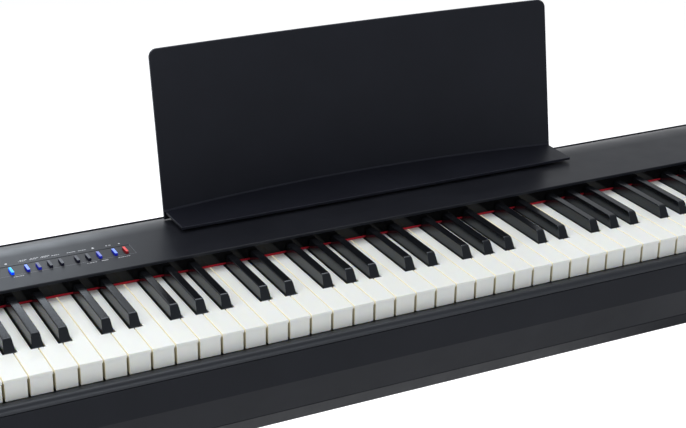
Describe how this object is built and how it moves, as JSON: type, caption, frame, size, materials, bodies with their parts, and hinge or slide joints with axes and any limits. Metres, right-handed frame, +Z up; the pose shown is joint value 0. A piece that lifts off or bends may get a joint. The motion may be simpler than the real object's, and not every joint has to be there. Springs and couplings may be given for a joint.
{
  "type": "digital piano",
  "caption": "Full-size digital piano with weighted black and white keys, control buttons and a lift-off music rest, on a black board stand with two side panels.",
  "frame": {"origin": "on the floor under the middle of the stand's foot bars", "axes": "+X to the player's right along the keyboard, +Y away from the player, +Z up"},
  "size_m": [1.3, 0.345, 0.937],
  "materials": {
    "case_plastic": "fine-textured satin blue-black",
    "cover_plastic": "fine-textured satin blue-black",
    "strip_plastic": "smooth satin black",
    "gloss_black": "polished black",
    "red_felt": "crimson felt",
    "white_key": "satin ivory white",
    "black_key": "satin ebony black",
    "frame_steel": "zinc-plated sheet",
    "bright_steel": "ground rod",
    "dark_steel": "blackened steel",
    "circuit_board": "green solder mask",
    "socket_plastic": "moulded black",
    "speaker_black": "paper cone and pressed basket",
    "grille_steel": "black powder coat",
    "foot_rubber": "matte rubber",
    "stand_board": "black laminated board",
    "stand_metal": "black powder coat",
    "knob_plastic": "moulded black",
    "rest_plastic": "fine-textured satin black",
    "button_plain": "satin grey-black",
    "button_blue": "lit blue lens",
    "button_bright_blue": "lit cyan-blue lens",
    "button_dim_blue": "dim blue lens",
    "button_red": "lit red lens"
  },
  "bodies": {
    "frame": {"bottom_case": "case_plastic", "front_panel": "case_plastic", "key_slip": "case_plastic", "left_cheek": "case_plastic", "right_cheek": "case_plastic", "top_cover": "cover_plastic", "rear_panel": "case_plastic", "control_strip": "strip_plastic", "fallboard_strip": "gloss_black", "key_felt": "red_felt", "key_frame": "frame_steel", "hinge_rod": "bright_steel", "contact_board": "circuit_board", "main_board": "circuit_board", "button_board": "circuit_board", "dc_inlet": "socket_plastic", "pedal_socket": "socket_plastic", "headphone_sockets": "socket_plastic", "speakers": "speaker_black", "speaker_grilles": "grille_steel", "case_screws": "dark_steel", "rubber_feet": "foot_rubber", "left_side_panel": "stand_board", "right_side_panel": "stand_board", "foot_bars": "stand_board", "foot_pads": "foot_rubber", "upper_rear_board": "stand_board", "lower_rear_board": "stand_board", "support_plates": "stand_metal", "stand_bolts": "dark_steel", "thumb_screws": "knob_plastic"},
    "white_key_c4": {"white_key_c4": "white_key"},
    "white_key_d4": {"white_key_d4": "white_key"},
    "white_key_e4": {"white_key_e4": "white_key"},
    "white_key_f4": {"white_key_f4": "white_key"},
    "white_key_g4": {"white_key_g4": "white_key"},
    "white_key_a4": {"white_key_a4": "white_key"},
    "white_key_b4": {"white_key_b4": "white_key"},
    "black_key_c_sharp_4": {"black_key_c_sharp_4": "black_key"},
    "black_key_d_sharp_4": {"black_key_d_sharp_4": "black_key"},
    "black_key_f_sharp_4": {"black_key_f_sharp_4": "black_key"},
    "black_key_g_sharp_4": {"black_key_g_sharp_4": "black_key"},
    "black_key_a_sharp_4": {"black_key_a_sharp_4": "black_key"},
    "bass_white_keys": {"bass_white_keys": "white_key"},
    "treble_white_keys": {"treble_white_keys": "white_key"},
    "bass_black_keys": {"bass_black_keys": "black_key"},
    "treble_black_keys": {"treble_black_keys": "black_key"},
    "power_button": {"power_button": "button_red"},
    "function_button": {"function_button": "button_bright_blue"},
    "piano_button": {"piano_button": "button_blue"},
    "electric_piano_button": {"electric_piano_button": "button_dim_blue"},
    "organ_button": {"organ_button": "button_plain"},
    "strings_button": {"strings_button": "button_plain"},
    "song_button": {"song_button": "button_plain"},
    "metronome_button": {"metronome_button": "button_plain"},
    "tempo_button": {"tempo_button": "button_dim_blue"},
    "play_button": {"play_button": "button_dim_blue"},
    "record_button": {"record_button": "button_red"},
    "volume_slider": {"volume_slider": "button_plain"},
    "music_rest": {"music_rest": "rest_plastic"}
  },
  "joints": [
    {"name": "white_key_c4_hinge", "type": "hinge", "parent": "frame", "child": "white_key_c4", "pos_m": [-0.05875, 0.077, 0.723], "axis": [1, 0, 0], "range_deg": [0, 2.8], "stiffness_Nm_per_rad": 0.8, "springref_deg": -8.59},
    {"name": "white_key_d4_hinge", "type": "hinge", "parent": "frame", "child": "white_key_d4", "pos_m": [-0.03525, 0.077, 0.723], "axis": [1, 0, 0], "range_deg": [0, 2.8], "stiffness_Nm_per_rad": 0.8, "springref_deg": -8.59},
    {"name": "white_key_e4_hinge", "type": "hinge", "parent": "frame", "child": "white_key_e4", "pos_m": [-0.01175, 0.077, 0.723], "axis": [1, 0, 0], "range_deg": [0, 2.8], "stiffness_Nm_per_rad": 0.8, "springref_deg": -8.59},
    {"name": "white_key_f4_hinge", "type": "hinge", "parent": "frame", "child": "white_key_f4", "pos_m": [0.01175, 0.077, 0.723], "axis": [1, 0, 0], "range_deg": [0, 2.8], "stiffness_Nm_per_rad": 0.8, "springref_deg": -8.59},
    {"name": "white_key_g4_hinge", "type": "hinge", "parent": "frame", "child": "white_key_g4", "pos_m": [0.03525, 0.077, 0.723], "axis": [1, 0, 0], "range_deg": [0, 2.8], "stiffness_Nm_per_rad": 0.8, "springref_deg": -8.59},
    {"name": "white_key_a4_hinge", "type": "hinge", "parent": "frame", "child": "white_key_a4", "pos_m": [0.05875, 0.077, 0.723], "axis": [1, 0, 0], "range_deg": [0, 2.8], "stiffness_Nm_per_rad": 0.8, "springref_deg": -8.59},
    {"name": "white_key_b4_hinge", "type": "hinge", "parent": "frame", "child": "white_key_b4", "pos_m": [0.08225, 0.077, 0.723], "axis": [1, 0, 0], "range_deg": [0, 2.8], "stiffness_Nm_per_rad": 0.8, "springref_deg": -8.59},
    {"name": "black_key_c_sharp_4_hinge", "type": "hinge", "parent": "frame", "child": "black_key_c_sharp_4", "pos_m": [-0.049, 0.077, 0.723], "axis": [1, 0, 0], "range_deg": [0, 2.8], "stiffness_Nm_per_rad": 0.8, "springref_deg": -8.59},
    {"name": "black_key_d_sharp_4_hinge", "type": "hinge", "parent": "frame", "child": "black_key_d_sharp_4", "pos_m": [-0.0215, 0.077, 0.723], "axis": [1, 0, 0], "range_deg": [0, 2.8], "stiffness_Nm_per_rad": 0.8, "springref_deg": -8.59},
    {"name": "black_key_f_sharp_4_hinge", "type": "hinge", "parent": "frame", "child": "black_key_f_sharp_4", "pos_m": [0.0203, 0.077, 0.723], "axis": [1, 0, 0], "range_deg": [0, 2.8], "stiffness_Nm_per_rad": 0.8, "springref_deg": -8.59},
    {"name": "black_key_g_sharp_4_hinge", "type": "hinge", "parent": "frame", "child": "black_key_g_sharp_4", "pos_m": [0.047, 0.077, 0.723], "axis": [1, 0, 0], "range_deg": [0, 2.8], "stiffness_Nm_per_rad": 0.8, "springref_deg": -8.59},
    {"name": "black_key_a_sharp_4_hinge", "type": "hinge", "parent": "frame", "child": "black_key_a_sharp_4", "pos_m": [0.0735, 0.077, 0.723], "axis": [1, 0, 0], "range_deg": [0, 2.8], "stiffness_Nm_per_rad": 0.8, "springref_deg": -8.59},
    {"name": "bass_white_keys_hinge", "type": "hinge", "parent": "frame", "child": "bass_white_keys", "pos_m": [-0.34, 0.077, 0.723], "axis": [1, 0, 0], "range_deg": [0, 2.8], "stiffness_Nm_per_rad": 18.4, "springref_deg": -8.59},
    {"name": "treble_white_keys_hinge", "type": "hinge", "parent": "frame", "child": "treble_white_keys", "pos_m": [0.35, 0.077, 0.723], "axis": [1, 0, 0], "range_deg": [0, 2.8], "stiffness_Nm_per_rad": 17.6, "springref_deg": -8.59},
    {"name": "bass_black_keys_hinge", "type": "hinge", "parent": "frame", "child": "bass_black_keys", "pos_m": [-0.34, 0.077, 0.723], "axis": [1, 0, 0], "range_deg": [0, 2.8], "stiffness_Nm_per_rad": 12.8, "springref_deg": -8.59},
    {"name": "treble_black_keys_hinge", "type": "hinge", "parent": "frame", "child": "treble_black_keys", "pos_m": [0.34, 0.077, 0.723], "axis": [1, 0, 0], "range_deg": [0, 2.8], "stiffness_Nm_per_rad": 12, "springref_deg": -8.59},
    {"name": "power_button_press", "type": "slide", "parent": "frame", "child": "power_button", "axis": [0, 0, -1], "range_m": [0, 0.0012], "stiffness_N_per_m": 300, "springref_m": -0.0006},
    {"name": "function_button_press", "type": "slide", "parent": "frame", "child": "function_button", "axis": [0, 0, -1], "range_m": [0, 0.0012], "stiffness_N_per_m": 300, "springref_m": -0.0006},
    {"name": "piano_button_press", "type": "slide", "parent": "frame", "child": "piano_button", "axis": [0, 0, -1], "range_m": [0, 0.0012], "stiffness_N_per_m": 300, "springref_m": -0.0006},
    {"name": "electric_piano_button_press", "type": "slide", "parent": "frame", "child": "electric_piano_button", "axis": [0, 0, -1], "range_m": [0, 0.0012], "stiffness_N_per_m": 300, "springref_m": -0.0006},
    {"name": "organ_button_press", "type": "slide", "parent": "frame", "child": "organ_button", "axis": [0, 0, -1], "range_m": [0, 0.0012], "stiffness_N_per_m": 300, "springref_m": -0.0006},
    {"name": "strings_button_press", "type": "slide", "parent": "frame", "child": "strings_button", "axis": [0, 0, -1], "range_m": [0, 0.0012], "stiffness_N_per_m": 300, "springref_m": -0.0006},
    {"name": "song_button_press", "type": "slide", "parent": "frame", "child": "song_button", "axis": [0, 0, -1], "range_m": [0, 0.0012], "stiffness_N_per_m": 300, "springref_m": -0.0006},
    {"name": "metronome_button_press", "type": "slide", "parent": "frame", "child": "metronome_button", "axis": [0, 0, -1], "range_m": [0, 0.0012], "stiffness_N_per_m": 300, "springref_m": -0.0006},
    {"name": "tempo_button_press", "type": "slide", "parent": "frame", "child": "tempo_button", "axis": [0, 0, -1], "range_m": [0, 0.0012], "stiffness_N_per_m": 300, "springref_m": -0.0006},
    {"name": "play_button_press", "type": "slide", "parent": "frame", "child": "play_button", "axis": [0, 0, -1], "range_m": [0, 0.0012], "stiffness_N_per_m": 300, "springref_m": -0.0006},
    {"name": "record_button_press", "type": "slide", "parent": "frame", "child": "record_button", "axis": [0, 0, -1], "range_m": [0, 0.0012], "stiffness_N_per_m": 300, "springref_m": -0.0006},
    {"name": "volume_slide", "type": "slide", "parent": "frame", "child": "volume_slider", "axis": [1, 0, 0], "range_m": [-0.015, 0.015]},
    {"name": "music_rest_lift", "type": "slide", "parent": "frame", "child": "music_rest", "axis": [0, 0, 1], "range_m": [0, 0.12]}
  ]
}
